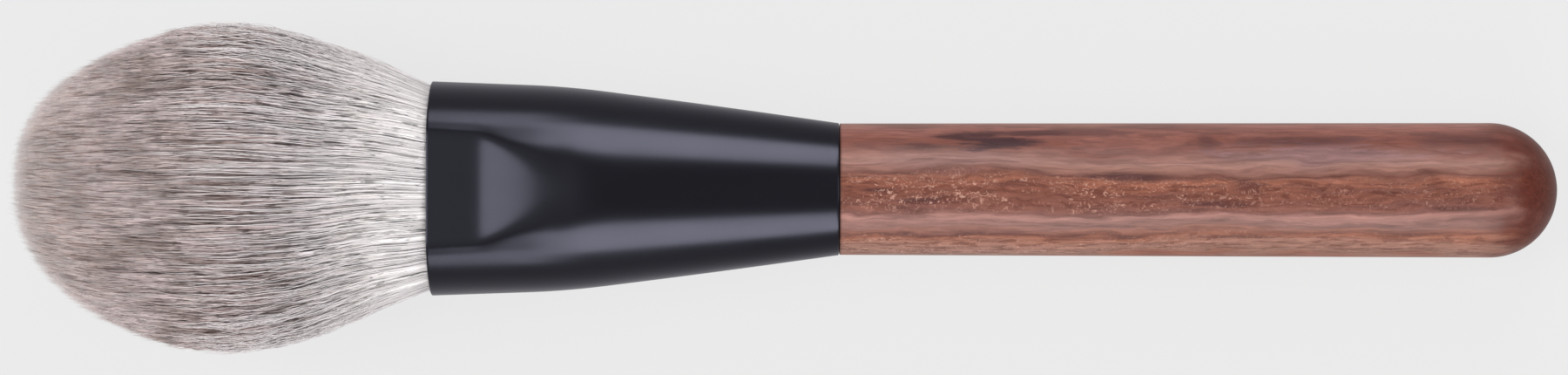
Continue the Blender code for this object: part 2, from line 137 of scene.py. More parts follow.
# Placed marks: grey-lilac sapwood clouds, then purple-brown streaks and short broken lines. Each
# is the millimetres along and across of its middle, its half sizes and its strength.
WOOD_MARKS = (
    ("#775a5e", (
        (60.0, 3.3, 9.0, 1.1, 0.3), (101.0, 3.9, 11.0, 1.3, 0.5))),
    ("#3d2427", (
        (61.0, 6.0, 4.5, 0.8, 0.9), (65.0, 5.3, 5.5, 0.7, 1.0), (68.5, 6.4, 4.0, 0.4, 0.8),
        (57.5, 4.8, 3.5, 0.5, 0.7), (75.0, 6.5, 7.0, 0.5, 0.6), (98.0, 5.6, 7.0, 0.6, 0.6),
        (118.0, 5.9, 6.0, 0.9, 0.6), (80.5, 1.5, 6.0, 0.6, 0.75), (88.5, 5.6, 1.6, 0.9, 0.6),
        (89.0, -1.6, 4.5, 0.4, 0.75), (93.0, 0.3, 2.2, 0.6, 0.7), (50.0, -0.1, 3.0, 0.35, 0.75),
        (54.0, 7.2, 4.0, 0.4, 0.4), (83.0, 7.1, 6.0, 0.45, 0.4), (56.5, -1.3, 2.5, 0.3, 0.7),
        (91.0, -5.3, 6.0, 0.3, 0.6), (117.0, -2.1, 4.5, 0.3, 0.6))))
MARK_REACH = 25.0  # how far a mark goes into the wood

# Goat hair from its white roots to its tips, over this distance from the mouth. The stops on
# the dome are the hair's tone with painted light added, lighter where it turns from the lamps
HAIR_TONES_TO = 52.0
HAIR_TONES_AND_DOME_LIGHT = (
    (0.14, "#fffcfc"), (0.25, "#e7e0de"), (0.30, "#ece5e7"), (0.35, "#c6bab8"),
    (0.42, "#cabfc1"), (0.50, "#c2b0af"), (0.62, "#c6b8b6"), (0.74, "#e5d4d4"),
    (0.98, "#d2b9b0"))

# Softboxes: place and what each faces in brush millimetres, width, height and radiance
SOFTBOXES = {
    "near_mouth": ((5, -420, 70), (5, 0, 70), 50, 144, 5.3),
    "near_handle": ((134, -420, 280), (134, 0, 280), 220, 380, 6.0),
    "far_mouth": ((5, 420, 70), (5, 0, 70), 50, 144, 5.3),
    "far_handle": ((134, 420, 280), (134, 0, 280), 220, 380, 6.0),
    "hair": ((-285, 0, 505), (8, 0, 11), 250, 310, 4.1),
    "tip": ((-420, 0, 330), (-25, 0, 0), 300, 200, 6.3),
    "root": ((330, 0, 340), (-4, 0, 8), 300, 160, 2.6),
    "over": ((-130, 0, 520), (-5, 0, 8), 640, 380, 0.41),
}
FLOOR_REACH = 3.0  # metres


# The brush's own axes

def brush_axes():
    """Where the mouth is in the CAD frame and how the brush is turned, from the flats' mounts."""
    mounts = {mount["name"]: mount for mount in frame["record"]["mounts"]}
    top, bottom = mounts["ferrule_flat_top"], mounts["ferrule_flat_bottom"]
    up = Vector(top["axis"]).normalized()
    along = Vector((0.0, 1.0, 0.0)).cross(up).normalized()
    across = up.cross(along)
    middle = (Vector(top["pos_m"]) + Vector(bottom["pos_m"])) / 2
    mouth = middle - along * MOUNT_DISTANCE * MM
    turn = Matrix((along, across, up)).transposed()
    return mouth, turn


MOUTH, TURN = brush_axes()
TURN_ARRAY = np.array(TURN)


def placed(points):
    """Brush millimetres to CAD metres, for an array whose last axis is x, y, z."""
    return points @ TURN_ARRAY.T * MM + np.array(MOUTH)


def linear(code):
    """An sRGB hex colour as linear red, green, blue and alpha."""
    parts = [int(code[i:i + 2], 16) / 255 for i in (1, 3, 5)]
    return (*[c / 12.92 if c <= 0.04045 else ((c + 0.055) / 1.055) ** 2.4 for c in parts], 1.0)


# Meshes

def mesh_piece(name, points, faces, material, strand=None, combed=None):
    """A piece from brush millimetres and a list of face arrays, turned so that it faces outwards.

    The sign of the volume, the sum over all faces of the triple product of the corners, tells
    whether the faces point outwards. Hair keeps two values at each vertex. The first, strand,
    holds a hair's tone, the share of its length, its clump's tone and its fineness, and the
    second, combed, its place before fanning.
    """
    signed = 0.0
    for part in faces:
        a, b, c = points[part[:, 0]], points[part[:, 1]], points[part[:, 2]]
        signed += np.einsum("ij,ij->", a, np.cross(b, c))
        if part.shape[1] == 4:
            signed += np.einsum("ij,ij->", a, np.cross(c, points[part[:, 3]]))
    if signed < 0:
        faces = [part[:, ::-1] for part in faces]
    corners = np.concatenate([part.ravel() for part in faces]).astype(np.int32)
    sizes = np.concatenate([np.full(len(part), part.shape[1]) for part in faces])
    starts = np.concatenate([[0], np.cumsum(sizes)[:-1]]).astype(np.int32)
    mesh = bpy.data.meshes.new(name)
    mesh.vertices.add(len(points))
    mesh.vertices.foreach_set("co", placed(points).astype(np.float32).ravel())
    mesh.loops.add(len(corners))
    mesh.loops.foreach_set("vertex_index", corners)
    mesh.polygons.add(len(sizes))
    mesh.polygons.foreach_set("loop_start", starts)
    mesh.update(calc_edges=True)
    if strand is not None:
        layer = mesh.attributes.new("strand", "FLOAT_COLOR", "POINT")
        layer.data.foreach_set("color", strand.astype(np.float32).ravel())
        layer = mesh.attributes.new("combed", "FLOAT_VECTOR", "POINT")
        layer.data.foreach_set("vector", combed.astype(np.float32).ravel())
    mesh.materials.append(material)
    mesh.shade_smooth()
    piece = bpy.data.objects.new(name, mesh)
    bpy.context.scene.collection.objects.link(piece)
    return piece


def grid_faces(rows, columns, close_rows=False):
    """Quads of a grid whose columns close on themselves, and its rows too where asked."""
    index = np.arange(rows * columns).reshape(rows, columns)
    if close_rows:
        below, above = index, np.roll(index, -1, axis=0)
    else:
        below, above = index[:-1], index[1:]
    quads = np.stack([below, np.roll(below, -1, 1), np.roll(above, -1, 1), above], -1)
    return quads.reshape(-1, 4)


def capped(rows, columns):
    """Faces of a grid of closed rows with a pole before the first and after the last."""
    ring = np.arange(columns)
    first, last = rows * columns, rows * columns + 1
    back = (rows - 1) * columns
    fans = np.concatenate([
        np.stack([np.full(columns, first), np.roll(ring, -1), ring], -1),
        np.stack([np.full(columns, last), back + ring, back + np.roll(ring, -1)], -1)])
    return [grid_faces(rows, columns), fans]


# Materials

def add_node(tree, kind, inputs=None, stops=None, **settings):
    """Adds a node, sets its settings and ramp stops, and links or fills its inputs.

    An input given as a node takes that node's first output that is in use.
    """
    made = tree.nodes.new(kind)
    for key, value in settings.items():
        setattr(made, key, value)
    for key, value in (inputs or {}).items():
        if isinstance(value, bpy.types.Node):
            value = next(socket for socket in value.outputs if not socket.is_unavailable)
        if isinstance(value, bpy.types.NodeSocket):
            tree.links.new(value, made.inputs[key])
        else:
            made.inputs[key].default_value = value
    if stops:
        elements = made.color_ramp.elements
        while len(elements) < len(stops):
            elements.new(0.5)
        for element, (position, colour) in zip(elements, stops):
            grey = not isinstance(colour, str)
            element.position = position
            element.color = (colour, colour, colour, 1) if grey else linear(colour)
    return made


def new_material(name):
    """A material, its node tree and its shader."""
    made = bpy.data.materials.new(name)
    made.use_nodes = True
    return made, made.node_tree, made.node_tree.nodes["Principled BSDF"]


def own_millimetres(tree):
    """The brush's own millimetres, from Object coordinates."""
    place = add_node(tree, "ShaderNodeTexCoord")
    return add_node(tree, "ShaderNodeMapping", {
        "Vector": place.outputs["Object"], "Location": MOUTH, "Rotation": TURN.to_euler(),
        "Scale": (MM, MM, MM)}, vector_type="TEXTURE")


def black_anodised_aluminium():
    """Drawn aluminium tube, bead blasted and dyed black: a soft satin with blurred highlights."""
    made, tree, shader = new_material("black anodised aluminium")
    own = own_millimetres(tree)
    shader.inputs["Base Color"].default_value = linear("#2e2e35")
    shader.inputs["Metallic"].default_value = 1.0
    # The dyed skin keeps its reflections dark until they graze
    shader.inputs["Specular Tint"].default_value = linear("#faf8ff")
    # Blasted pits of 0.17 mm, and handling marks some 7 mm long
    pits = add_node(tree, "ShaderNodeTexNoise", {"Vector": own, "Scale": 6.0, "Detail": 3.0})
    long = add_node(tree, "ShaderNodeMapping", {"Vector": own, "Scale": (0.15, 0.4, 0.4)})
    marks = add_node(tree, "ShaderNodeTexNoise", {"Vector": long, "Scale": 1.0})
    both = add_node(tree, "ShaderNodeMath", {0: pits, 1: marks}, operation="ADD")
    rough = add_node(tree, "ShaderNodeMapRange", {
        "Value": both, "From Min": 0.6, "From Max": 1.4, "To Min": 0.225, "To Max": 0.27})
    tree.links.new(rough.outputs[0], shader.inputs["Roughness"])
    bump = add_node(tree, "ShaderNodeBump", {
        "Height": pits, "Strength": 0.04, "Distance": PIT_DEPTH * MM})
    tree.links.new(bump.outputs[0], shader.inputs["Normal"])
    return made


def growth_layers(tree, own):
    """Growth layers across y, which drift by 1.5 mm over 45 mm and waver by 0.5 mm over 6 mm.

    Gives the distance along the brush, both noises, the point with its layer in place of y, and
    where the layer lies, as a share from WOOD_FROM to WOOD_TO.
    """
    split = add_node(tree, "ShaderNodeSeparateXYZ", {0: own})
    slow = add_node(tree, "ShaderNodeMapping", {"Vector": own, "Scale": (0.022, 0.08, 0.08)})
    drift = add_node(tree, "ShaderNodeTexNoise", {
        "Vector": slow, "Scale": 1.0, "Detail": 3.0, "Roughness": 0.7})
    short = add_node(tree, "ShaderNodeMapping", {"Vector": own, "Scale": (0.16, 0.6, 0.6)})
    waver = add_node(tree, "ShaderNodeTexNoise", {"Vector": short, "Scale": 1.0, "Detail": 4.0})
    layer = add_node(tree, "ShaderNodeMath", {0: drift, 1: 5.0, 2: split.outputs["Y"]},
                     operation="MULTIPLY_ADD")
    layer = add_node(tree, "ShaderNodeMath", {0: waver, 1: 1.8, 2: layer},
                     operation="MULTIPLY_ADD")
    laid = add_node(tree, "ShaderNodeCombineXYZ", {
        "X": split.outputs["X"], "Y": layer, "Z": split.outputs["Z"]})
    share = add_node(tree, "ShaderNodeMapRange", {
        "Value": layer, "From Min": WOOD_FROM, "From Max": WOOD_TO})
    return split.outputs["X"], drift, waver, laid, share


def placed_marks(tree, tone, own, waver, fibre):
    """Marks laid over the tone: ovals round given points, whose edges the noises tear."""
    for colour, places in WOOD_MARKS:
        spots = None
        for along, across, half_length, half_width, depth in places:
            near = add_node(tree, "ShaderNodeMapping", {
                "Vector": own, "Location": (-along / half_length, -across / half_width, 0),
                "Scale": (1 / half_length, 1 / half_width, 1 / MARK_REACH)})
            reach = add_node(tree, "ShaderNodeVectorMath", {0: near}, operation="LENGTH")
            torn = add_node(tree, "ShaderNodeMath", {0: waver, 1: -2.6, 2: reach.outputs["Value"]},
                            operation="MULTIPLY_ADD")
            torn = add_node(tree, "ShaderNodeMath", {0: fibre, 1: -2.2, 2: torn},
                            operation="MULTIPLY_ADD")
            spot = add_node(tree, "ShaderNodeMapRange", {
                "Value": torn, "From Min": -1.25, "From Max": -1.85,
                "To Min": 0.0, "To Max": depth})
            spots = spot if spots is None else add_node(
                tree, "ShaderNodeMath", {0: spots, 1: spot}, operation="MAXIMUM")
        tone = add_node(tree, "ShaderNodeMix", {0: spots, "A": tone, "B": linear(colour)},
                        data_type="RGBA")
    return tone


def figure(tree, tone, figured, laid, waver, along):
    """What the figured bands have: dark strokes 2.5 mm long, and pale flecks of 0.5 mm.

    The flecks crowd together in places, and there are fewer of them towards the dome.
    """
    stroke = add_node(tree, "ShaderNodeMapping", {"Vector": laid, "Scale": (0.4, 1.7, 1.7)})
    stroke = add_node(tree, "ShaderNodeTexNoise", {
        "Vector": stroke, "Scale": 1.0, "Detail": 2.0, "Distortion": 0.8})
    stroke = add_node(tree, "ShaderNodeMapRange", {
        "Value": stroke, "From Min": 0.50, "From Max": 0.61, "To Min": 0.0, "To Max": 0.7})
    stroke = add_node(tree, "ShaderNodeMath", {0: stroke, 1: figured}, operation="MULTIPLY")
    tone = add_node(tree, "ShaderNodeMix", {0: stroke, "A": tone, "B": linear("#5c342c")},
                    data_type="RGBA")
    fleck = add_node(tree, "ShaderNodeMapping", {"Vector": laid, "Scale": (1.5, 2.2, 2.2)})
    fleck = add_node(tree, "ShaderNodeTexNoise", {
        "Vector": fleck, "Scale": 1.0, "Detail": 2.0, "Roughness": 0.6, "Distortion": 1.8})
    fleck = add_node(tree, "ShaderNodeMapRange", {
        "Value": fleck, "From Min": 0.55, "From Max": 0.66, "To Min": 0.0, "To Max": 0.75})
    crowd = add_node(tree, "ShaderNodeMapRange", {
        "Value": waver, "From Min": 0.34, "From Max": 0.50})
    fewer = add_node(tree, "ShaderNodeMapRange", {
        "Value": along, "From Min": 78.0, "From Max": 98.0, "To Min": 1.0, "To Max": 0.4})
    for share in (crowd, fewer, figured):
        fleck = add_node(tree, "ShaderNodeMath", {0: fleck, 1: share}, operation="MULTIPLY")
    return add_node(tree, "ShaderNodeMix", {0: fleck, "A": tone, "B": linear("#bb9080")},
                    data_type="RGBA")


def oiled_rosewood():
    """Rosewood turned, sanded and oiled to a satin.

    Growth layers lie across y, so the eye sees long bands: purple-brown streaks near one side, an
    orange figured band along the middle with pale flecks in it, and a narrow one near the other
    side. The dome is darker: its end grain drinks more oil, and painted shade lies there too,
    where the dome turns away from the lamps.
    """
    made, tree, shader = new_material("oiled rosewood")
    own = own_millimetres(tree)
    along, drift, waver, laid, layer = growth_layers(tree, own)
    tone = add_node(tree, "ShaderNodeValToRGB", {0: layer}, stops=WOOD_TONES)
    figured = add_node(tree, "ShaderNodeValToRGB", {0: layer}, stops=WOOD_FIGURED)
    # The bands' dark edges break off where the drift is low
    edge = add_node(tree, "ShaderNodeValToRGB", {0: layer}, stops=WOOD_EDGES)
    breaks = add_node(tree, "ShaderNodeMapRange", {
        "Value": drift, "From Min": 0.42, "From Max": 0.60, "To Min": 0.25, "To Max": 1.0})
    edge = add_node(tree, "ShaderNodeMath", {0: edge, 1: breaks}, operation="MULTIPLY")
    tone = add_node(tree, "ShaderNodeMix", {0: edge, "A": tone, "B": linear("#593631")},
                    data_type="RGBA")
    # Fibres 0.3 mm wide and 4 mm long, drawn a little coarser than real ones so that they show
    fibre = add_node(tree, "ShaderNodeMapping", {"Vector": laid, "Scale": (0.25, 3.2, 3.2)})
    fibre = add_node(tree, "ShaderNodeTexNoise", {
        "Vector": fibre, "Scale": 1.0, "Detail": 4.0, "Roughness": 0.6})
    tone = placed_marks(tree, tone, own, waver, fibre)
    # Vessel lines 0.8 mm apart and 12 mm long, all through the wood
    vessel = add_node(tree, "ShaderNodeMapping", {"Vector": laid, "Scale": (0.08, 1.3, 1.3)})
    vessel = add_node(tree, "ShaderNodeTexNoise", {
        "Vector": vessel, "Scale": 1.0, "Detail": 3.0, "Roughness": 0.55, "Distortion": 0.6})
    vessel = add_node(tree, "ShaderNodeMapRange", {
        "Value": vessel, "From Min": 0.50, "From Max": 0.64, "To Min": 0.0, "To Max": 0.5})
    tone = add_node(tree, "ShaderNodeMix", {0: vessel, "A": tone, "B": linear("#603f3b")},
                    data_type="RGBA")
    tone = figure(tree, tone, figured, laid, waver, along)
    # Painted shade and end grain that drinks more oil darken the dome from where it begins,
    # with a border torn by both noises
    torn = add_node(tree, "ShaderNodeMath", {0: waver, 1: 9.0, 2: along},
                    operation="MULTIPLY_ADD")
    torn = add_node(tree, "ShaderNodeMath", {0: fibre, 1: 5.0, 2: torn}, operation="MULTIPLY_ADD")
    grain = add_node(tree, "ShaderNodeMapRange", {
        "Value": torn, "From Min": HANDLE_BACK - 3.0, "From Max": HANDLE_BACK + 3.4,
        "To Min": 0.0, "To Max": 0.88}, interpolation_type="SMOOTHSTEP")
    tone = add_node(tree, "ShaderNodeMix", {0: grain, "A": tone, "B": linear("#52241b")},
                    data_type="RGBA")
    # Each fibre is lighter or darker, and painted shade darkens the wood at the shoulder,
    # where it meets the ferrule's lip
    light = add_node(tree, "ShaderNodeMapRange", {
        "Value": fibre, "From Min": 0.3, "From Max": 0.7, "To Min": 0.74, "To Max": 1.24})
    cut = add_node(tree, "ShaderNodeMapRange", {
        "Value": along, "From Min": HANDLE_FRONT + 0.05, "From Max": HANDLE_FRONT + 0.3,
        "To Min": 0.5, "To Max": 1.0})
    light = add_node(tree, "ShaderNodeMath", {0: light, 1: cut}, operation="MULTIPLY")
    tone = add_node(tree, "ShaderNodeMix", {0: 1.0, "A": tone, "B": light}, data_type="RGBA",
                    blend_type="MULTIPLY")
    tree.links.new(tone.outputs["Result"], shader.inputs["Base Color"])
    shader.inputs["Roughness"].default_value = 0.34
    shader.inputs["IOR"].default_value = 1.45
    shader.inputs["Specular IOR Level"].default_value = 0.17
    bump = add_node(tree, "ShaderNodeBump", {
        "Height": fibre, "Strength": 0.15, "Distance": FIBRE_DEPTH * MM})
    tree.links.new(bump.outputs[0], shader.inputs["Normal"])
    return made


def short_shade_strokes(tree, combed, out):
    """Painted shade: the light left in strokes where hairs part, 2.4 mm long and 0.45 mm apart.

    There are fewer of them among the white roots, and they are shallower past the belly.
    """
    stroke = add_node(tree, "ShaderNodeMapping", {"Vector": combed, "Scale": (0.42, 2.2, 2.2)})
    stroke = add_node(tree, "ShaderNodeTexNoise", {
        "Vector": stroke, "Scale": 1.0, "Detail": 2.0, "Roughness": 0.5, "Distortion": 0.7})
    fewer = add_node(tree, "ShaderNodeMapRange", {
        "Value": out, "From Min": 2.0, "From Max": 11.0, "To Min": 0.06, "To Max": 0.0})
    stroke = add_node(tree, "ShaderNodeMath", {0: stroke, 1: fewer}, operation="ADD")
    stroke = add_node(tree, "ShaderNodeMapRange", {
        "Value": stroke, "From Min": 0.38, "From Max": 0.48, "To Min": 0.36, "To Max": 1.0})
    depth = add_node(tree, "ShaderNodeMapRange", {
        "Value": out, "From Min": 17.0, "From Max": 33.0, "To Min": 1.0, "To Max": 0.58})
    return add_node(tree, "ShaderNodeMix", {0: depth, 2: 1.0, 3: stroke})


def long_shade_strokes(tree, combed, out):
    """The same painted shade for sparser strokes some 6 mm long, up to where the hair is all
    taupe.
    """
    stroke = add_node(tree, "ShaderNodeMapping", {"Vector": combed, "Scale": (0.17, 1.7, 1.7)})
    stroke = add_node(tree, "ShaderNodeTexNoise", {
        "Vector": stroke, "Scale": 1.0, "Detail": 2.0, "Roughness": 0.5, "Distortion": 0.5})
    stroke = add_node(tree, "ShaderNodeMapRange", {
        "Value": stroke, "From Min": 0.33, "From Max": 0.42, "To Min": 0.42, "To Max": 1.0})
    near = add_node(tree, "ShaderNodeMapRange", {"Value": out, "From Min": 26.0, "From Max": 17.0})
    return add_node(tree, "ShaderNodeMix", {0: near, 2: 1.0, 3: stroke})


def goat_hair():
    """Goat hair, washed and shaped, not glossy: white at its roots, streaked taupe beyond.

    Each hair has a tone of its own, and so has each clump.
    """
    made, tree, shader = new_material("goat hair")
    strand = add_node(tree, "ShaderNodeAttribute", attribute_name="strand")
    part = add_node(tree, "ShaderNodeSeparateColor", {0: strand.outputs["Color"]})
    single, length, clump = part.outputs
    combed = add_node(tree, "ShaderNodeAttribute", attribute_name="combed").outputs["Vector"]
    out = add_node(tree, "ShaderNodeSeparateXYZ", {0: combed}).outputs["X"]
    # Where the white ends differs by 4 mm from hair to hair and by 4 mm from clump to clump
    ragged = out
    for own_tone in (single, clump):
        ragged = add_node(tree, "ShaderNodeMath", {0: own_tone, 1: 4.0, 2: ragged},
                          operation="MULTIPLY_ADD")
    ragged = add_node(tree, "ShaderNodeMapRange", {
        "Value": ragged, "From Min": 0.0, "From Max": HAIR_TONES_TO})
    # The ramp's stops on the dome hold painted light as well as the hair's tone
    tone = add_node(tree, "ShaderNodeValToRGB", {0: ragged}, stops=HAIR_TONES_AND_DOME_LIGHT)
    # Beyond the white roots each hair has its own shade, in darker clouds of 6 mm by 2 mm
    shade = add_node(tree, "ShaderNodeMapRange", {"Value": single, "To Min": 0.82, "To Max": 1.1})
    cloud = add_node(tree, "ShaderNodeMapping", {"Vector": combed, "Scale": (0.16, 0.45, 0.45)})
    cloud = add_node(tree, "ShaderNodeTexNoise", {"Vector": cloud, "Scale": 1.0, "Detail": 2.0})
    cloud = add_node(tree, "ShaderNodeMapRange", {
        "Value": cloud, "From Min": 0.34, "From Max": 0.58, "To Min": 0.77, "To Max": 1.05})
    shade = add_node(tree, "ShaderNodeMath", {0: shade, 1: cloud}, operation="MULTIPLY")
    taupe = add_node(tree, "ShaderNodeMapRange", {
        "Value": out, "From Min": 5.0, "From Max": 15.0, "To Min": 0.1, "To Max": 1.0})
    shade = add_node(tree, "ShaderNodeMix", {0: taupe, 2: 1.0, 3: shade})
    # Dark strokes where the hairs part are painted shade, multiplied into the tone
    stroke = short_shade_strokes(tree, combed, out)
    for dark in (stroke, long_shade_strokes(tree, combed, out)):
        shade = add_node(tree, "ShaderNodeMath", {0: shade, 1: dark}, operation="MULTIPLY")
    # Clouds are browner the darker they are, from 1.05, and so are patches of 10 mm by 6 mm
    patch = add_node(tree, "ShaderNodeMapping", {"Vector": combed, "Scale": (0.1, 0.16, 0.16)})
    patch = add_node(tree, "ShaderNodeTexNoise", {"Vector": patch, "Scale": 1.0, "Detail": 1.0})
    warm = add_node(tree, "ShaderNodeMapRange", {
        "Value": patch, "From Min": 0.46, "From Max": 0.64, "To Min": 0.0, "To Max": 0.4})
    brown = add_node(tree, "ShaderNodeMath", {0: cloud, 1: -1.6, 2: 1.6 * 1.05},
                     operation="MULTIPLY_ADD")
    warm = add_node(tree, "ShaderNodeMath", {0: warm, 1: brown}, operation="ADD")
    far = add_node(tree, "ShaderNodeMapRange", {"Value": out, "From Min": 12.0, "From Max": 22.0})
    warm = add_node(tree, "ShaderNodeMath", {0: warm, 1: far}, operation="MULTIPLY")
    tone = add_node(tree, "ShaderNodeMix", {0: warm, "A": tone, "B": linear("#a8938a")},
                    data_type="RGBA")
    tone = add_node(tree, "ShaderNodeMix", {0: 1.0, "A": tone, "B": shade}, data_type="RGBA",
                    blend_type="MULTIPLY")
    # The painted shade in the short strokes is browner too
    under = add_node(tree, "ShaderNodeMath", {0: stroke, 1: -0.8, 2: 0.8},
                     operation="MULTIPLY_ADD")
    under = add_node(tree, "ShaderNodeMath", {0: under, 1: far}, operation="MULTIPLY")
    tone = add_node(tree, "ShaderNodeMix", {0: under, "A": tone, "B": linear("#6b5349")},
                    data_type="RGBA")
    # Worn tips are paler, and painted light makes the fine hairs at the tuft's soft edge paler too
    worn_tips_and_rim_light = add_node(tree, "ShaderNodeMapRange", {
        "Value": length, "From Min": 0.95, "From Max": 1.0, "To Min": 0.0, "To Max": 0.75})
    fine = add_node(tree, "ShaderNodeMath", {0: strand.outputs["Alpha"], 1: 0.82},
                    operation="MULTIPLY")
    worn_tips_and_rim_light = add_node(tree, "ShaderNodeMath", {0: worn_tips_and_rim_light, 1: fine}, operation="MAXIMUM")
    tone = add_node(tree, "ShaderNodeMix", {0: worn_tips_and_rim_light, "A": tone, "B": linear("#e8e3e4")},
                    data_type="RGBA")
    tree.links.new(tone.outputs["Result"], shader.inputs["Base Color"])
    shader.inputs["Roughness"].default_value = 0.55
    shader.inputs["IOR"].default_value = 1.55
    shader.inputs["Specular IOR Level"].default_value = 0.16
    return made


def plain_material(name, colour, other, scale, roughness):
    """Two tones of one stuff, clouded by noise at a given number of grains to a millimetre."""
    made, tree, shader = new_material(name)
    grain = add_node(tree, "ShaderNodeMapping", {"Vector": own_millimetres(tree), "Scale": scale})
    cloud = add_node(tree, "ShaderNodeTexNoise", {"Vector": grain, "Scale": 1.0, "Detail": 3.0})
    tone = add_node(tree, "ShaderNodeValToRGB", {0: cloud}, stops=[(0.35, colour), (0.65, other)])
    tree.links.new(tone.outputs[0], shader.inputs["Base Color"])
    shader.inputs["Roughness"].default_value = roughness
    bump = add_node(tree, "ShaderNodeBump", {
        "Height": cloud, "Strength": 0.3, "Distance": GRAIN_DEPTH * MM})
    tree.links.new(bump.outputs[0], shader.inputs["Normal"])
    return made


# Studio

def make_camera():
    """Looks square onto the brush's own axis from above, as the photograph does."""
    centre_x = (IMAGE_WIDTH / 2 - MOUTH_PIXEL) * PIXEL
    centre_y = (AXIS_PIXEL - IMAGE_HEIGHT / 2) * PIXEL
    camera = bpy.data.objects.new("camera", bpy.data.cameras.new("camera"))
    bpy.context.scene.collection.objects.link(camera)
    camera.data.sensor_width = SENSOR_WIDTH
    camera.data.lens = CAMERA_DISTANCE * SENSOR_WIDTH / (IMAGE_WIDTH * PIXEL)
    camera.data.clip_start = 0.01
    place = placed(np.array([centre_x, centre_y, CAMERA_DISTANCE]))
    roll = Matrix.Rotation(math.radians(CAMERA_ROLL), 3, "Z")
    camera.matrix_world = Matrix.Translation(place) @ (TURN @ roll).to_4x4()
    bpy.context.scene.camera = camera


def make_floor():
    """A pale table with a faint shadow: mostly one even tone to the eye and in reflections."""
    mesh = bpy.data.meshes.new("floor")
    corners = ((-1, -1), (1, -1), (1, 1), (-1, 1))
    mesh.from_pydata([(FLOOR_REACH * x, FLOOR_REACH * y, 0) for x, y in corners],
                     [], [(0, 1, 2, 3)])
    floor = bpy.data.objects.new("floor", mesh)
    bpy.context.scene.collection.objects.link(floor)
    made = bpy.data.materials.new("pale paper")
    made.use_nodes = True
    tree = made.node_tree
    tree.nodes.clear()
    path = add_node(tree, "ShaderNodeLightPath")
    # Reflections see a table that is lit less brightly further off
    strength = add_node(tree, "ShaderNodeMapRange", {
        "Value": path.outputs["Is Glossy Ray"], "To Min": 1.0, "To Max": 0.57})
    even = add_node(tree, "ShaderNodeEmission", {"Color": linear("#e9e9e9"), "Strength": strength})
    lit = add_node(tree, "ShaderNodeBsdfDiffuse", {"Color": linear("#e4e4e4")})
    # A share of what is seen is lit, which keeps the shadow
    seen = add_node(tree, "ShaderNodeMixShader", {0: 0.08, 1: even, 2: lit})
    direct = add_node(tree, "ShaderNodeMath", {
        0: path.outputs["Is Camera Ray"], 1: path.outputs["Is Glossy Ray"]}, operation="MAXIMUM")
    direct = add_node(tree, "ShaderNodeMath", {
        0: direct, 1: path.outputs["Is Transmission Ray"]}, operation="MAXIMUM")
    out = add_node(tree, "ShaderNodeMixShader", {0: direct, 1: lit, 2: seen})
    add_node(tree, "ShaderNodeOutputMaterial", {"Surface": out})
    mesh.materials.append(made)
    return floor


def softbox(name, place, aim, width, height, radiance):
    """A rectangular light in brush millimetres: its watts are radiance times pi times area."""
    lamp = bpy.data.lights.new(name, "AREA")
    lamp.shape = "RECTANGLE"
    lamp.size, lamp.size_y = width * MM, height * MM
    lamp.energy = radiance * math.pi * lamp.size * lamp.size_y
    box = bpy.data.objects.new(name, lamp)
    bpy.context.scene.collection.objects.link(box)
    start, end = Vector(placed(np.array(place, float))), Vector(placed(np.array(aim, float)))
    turn = (end - start).to_track_quat("-Z", "Y").to_matrix().to_4x4()
    box.matrix_world = Matrix.Translation(start) @ turn
    box.visible_camera = False


def make_lights():
    """A low box and a tall one on each side of the brush, four along it, and a dim room.

    The low boxes are seen in the ferrule's straight mouth, the tall ones in its cone and in the
    oil on the handle. The upper one towards the hair is seen in the pressed ramps and the wide dim
    one overhead in the flats, and the one over the handle lights the white roots.
    """
    for name, box in SOFTBOXES.items():
        softbox(f"softbox_{name}", *box)
    world = bpy.data.worlds.new("room")
    world.use_nodes = True
    world.node_tree.nodes["Background"].inputs["Color"].default_value = linear("#a4a4a4")
    bpy.context.scene.world = world
    bpy.context.scene.view_settings.view_transform = "Standard"


# Ferrule

def ferrule_radius(along):
    """A slow taper and a cone, blended by a parabola round the bend. The cone bulges as a sine."""
    slow = (MOUTH_RADIUS - BEND_RADIUS) / BEND
    fast = (BEND_RADIUS - SEAM_RADIUS) / (FERRULE_LENGTH - BEND)
    past = along - BEND
    radius = BEND_RADIUS - np.where(past > 0, fast, slow) * past
    reach = np.maximum(BEND_SOFTNESS - np.abs(past), 0)
    radius += BULGE * np.sin(math.pi * np.clip(past / (FERRULE_LENGTH - BEND), 0, 1))
    return radius - (fast - slow) * reach ** 2 / (4 * BEND_SOFTNESS)


def pressed_section(along, angle):
    """Cross-sections of the pressed tube, as arrays of y and z over distance and angle.

    Over the land a section is a circle cut by two flats. Over the ramp the flat narrows to
    nothing: a flat of (1 - t) of the land's, then a corner arc of t times the full radius. Its
    slope eases out over a longer way, as a parabola.
    """
    along, angle = along[:, None], angle[None, :]
    radius = ferrule_radius(along)
    t = np.clip((along - LAND_LENGTH) / RAMP_LENGTH, 0, 1)
    lift = 1 - (1 - np.clip((along - LAND_LENGTH) / EASE_LENGTH, 0, 1)) ** 2
    corner = np.arccos(np.minimum(HALF_FLATS / radius, 0.99999))
    folded = np.arctan2(np.abs(np.sin(angle)), np.abs(np.cos(angle)))
    flat = (1 - t) * radius * np.sin(corner)
    rise = (1 - lift) * HALF_FLATS
    reach = folded / corner * (flat + t * radius * corner)
    turn = np.maximum(reach - flat, 0) / np.maximum(t * radius, 1e-9)
    inside = folded < corner
    y = np.where(inside, np.minimum(reach, flat) + t * radius * np.sin(turn),
                 radius * np.sin(folded))
    z = np.where(inside, rise + lift * radius * np.cos(turn), radius * np.cos(folded))
    return y * np.sign(np.sin(angle)), z * np.sign(np.cos(angle))


